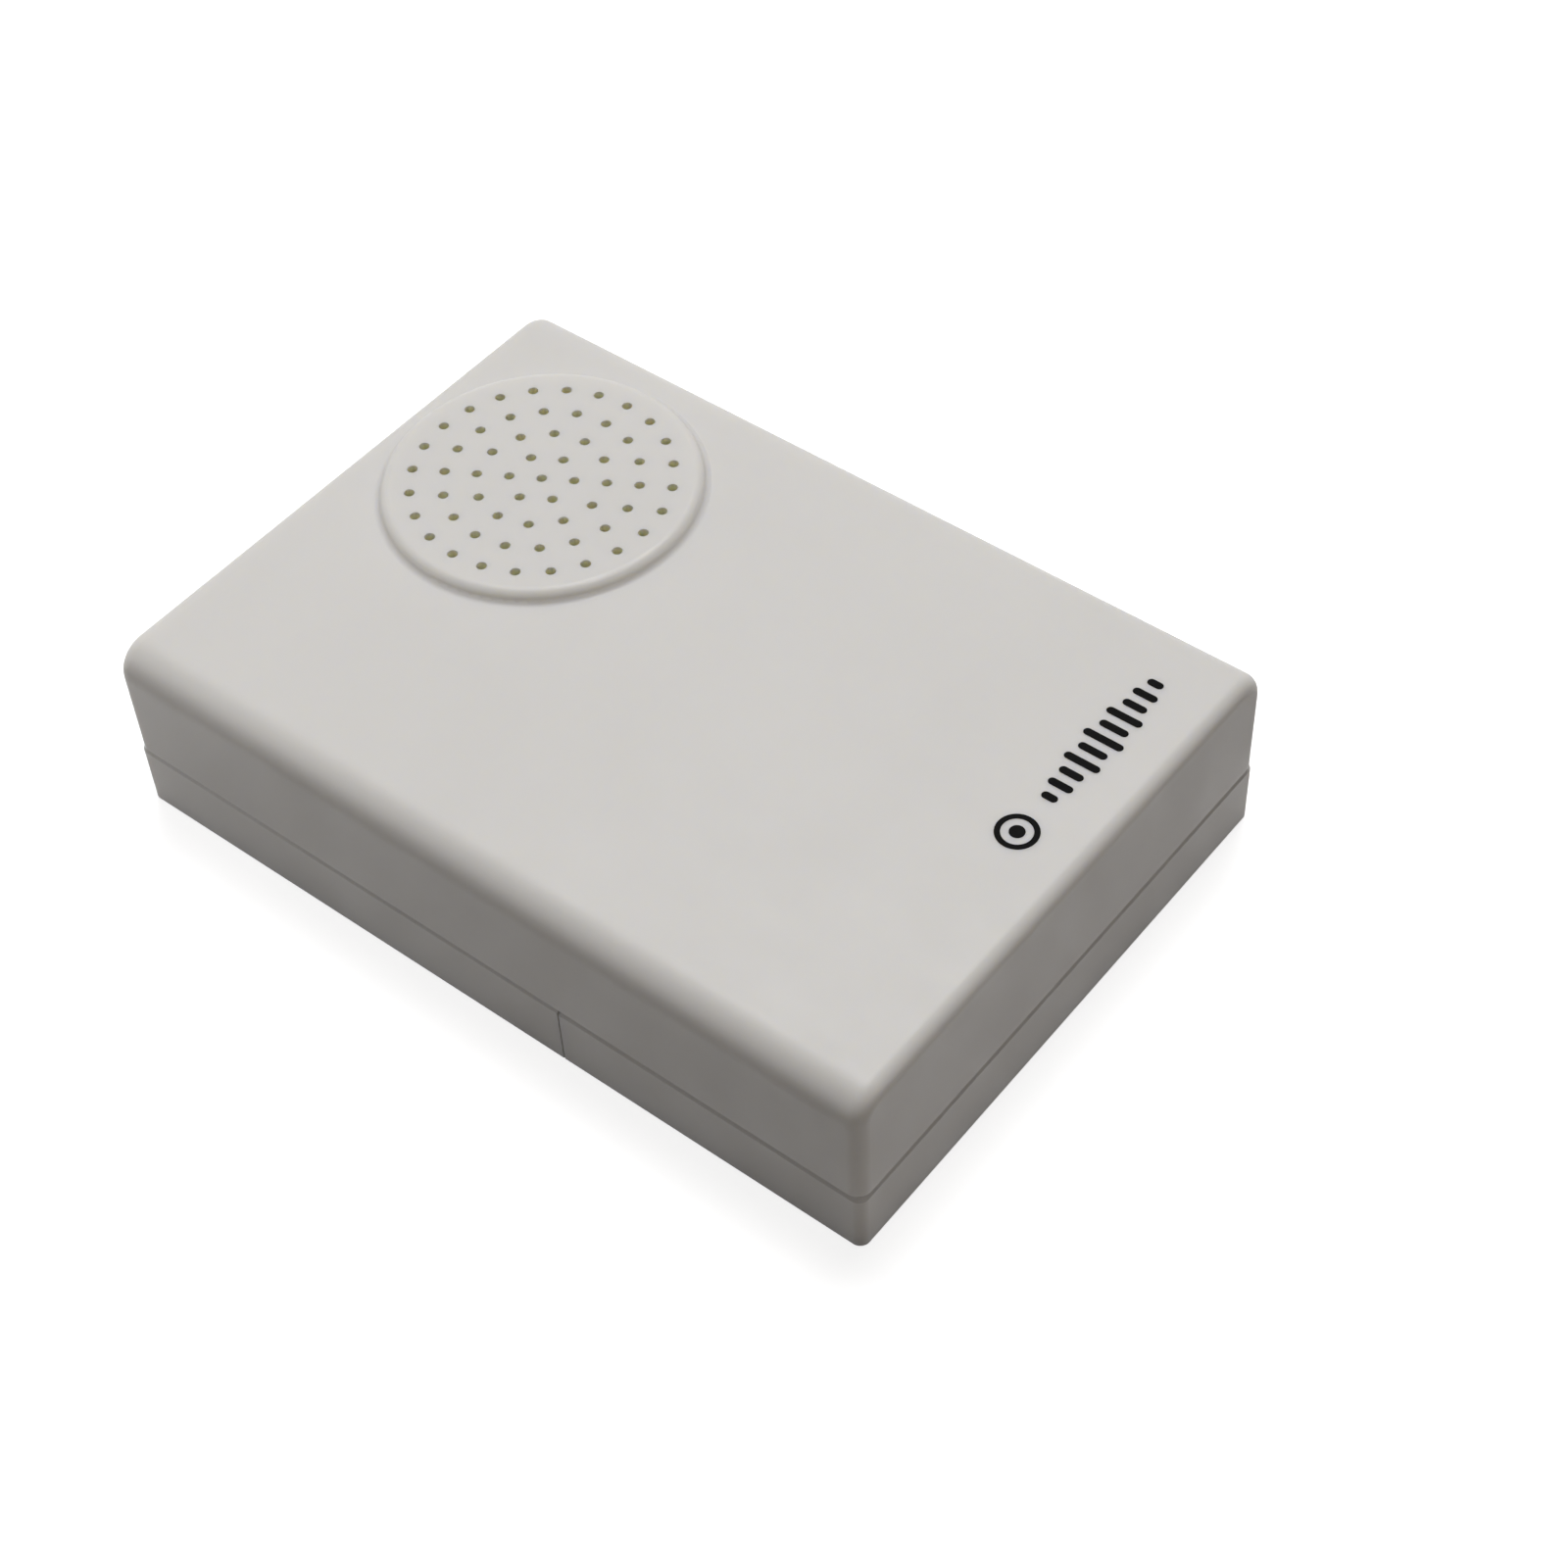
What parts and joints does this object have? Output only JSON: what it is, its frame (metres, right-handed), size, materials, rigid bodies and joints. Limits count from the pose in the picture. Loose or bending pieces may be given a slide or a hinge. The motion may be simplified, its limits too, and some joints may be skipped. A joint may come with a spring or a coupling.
{
  "type": "doorbell chime box",
  "caption": "Wall-hung chime box: low off-white case with a raised round speaker grille, slide-off battery door and keyholes in its back.",
  "frame": {"origin": "middle of the flat back face, the one that lies against the wall", "axes": "+Z out of the front face, +X along the length from the grille end to the battery end (down the wall when hung), +Y across the width"},
  "size_m": [0.094, 0.066, 0.0233],
  "materials": {
    "casing": "off-white moulded plastic, satin, very fine spark texture",
    "screw_steel": "zinc-plated steel",
    "speaker_steel": "pressed steel, zinc plated",
    "magnet": "nickel-plated",
    "diaphragm_film": "amber film, glossy",
    "coil_copper": "enamelled copper winding",
    "foam": "black open-cell foam",
    "fibre_board": "brown pressed fibre",
    "brass_parts": "plain brass, lightly tarnished",
    "board_laminate": "paper laminate, tan",
    "block_plastic": "green nylon",
    "chip_resin": "black resin",
    "capacitor_sleeve": "dark blue shrink sleeve",
    "capacitor_disc": "dipped ceramic",
    "transistor_case": "black moulding compound",
    "resistor_coat": "beige lacquer",
    "cell_jacket": "plain coloured jacket, steel ends",
    "contact_nickel": "nickel-plated strip and wire",
    "wire_black": "soft plastic insulation",
    "wire_red": "soft plastic insulation"
  },
  "bodies": {
    "housing": {"front_cover": "casing", "rear_shell": "casing", "case_screws": "screw_steel", "speaker_frame": "speaker_steel", "speaker_yoke": "speaker_steel", "speaker_magnet": "magnet", "speaker_pole_plate": "speaker_steel", "speaker_gasket": "foam", "speaker_tag_board": "fibre_board", "speaker_tags": "brass_parts", "circuit_board": "board_laminate", "board_screws": "screw_steel", "terminal_block": "block_plastic", "terminal_clamps": "brass_parts", "terminal_screws": "screw_steel", "melody_board": "board_laminate", "melody_chip": "chip_resin", "electrolytic_capacitors": "capacitor_sleeve", "ceramic_capacitor": "capacitor_disc", "driver_transistor": "transistor_case", "resistors": "resistor_coat", "battery_cell_a": "cell_jacket", "battery_cell_b": "cell_jacket", "negative_contact": "contact_nickel", "negative_spring": "contact_nickel", "positive_contact": "contact_nickel", "link_contact": "contact_nickel", "link_spring": "contact_nickel", "negative_wire": "wire_black", "positive_wire": "wire_red", "speaker_wires": "wire_red"},
    "door": {"battery_door": "casing"},
    "diaphragm": {"speaker_diaphragm": "diaphragm_film", "voice_coil": "coil_copper"}
  },
  "joints": [
    {"name": "battery_door_slide", "type": "slide", "parent": "housing", "child": "door", "axis": [1, 0, 0], "range_m": [0, 0.045]},
    {"name": "diaphragm_stroke", "type": "slide", "parent": "housing", "child": "diaphragm", "axis": [0, 0, 1], "range_m": [-0.0004, 0.0004], "stiffness_N_per_m": 800}
  ]
}
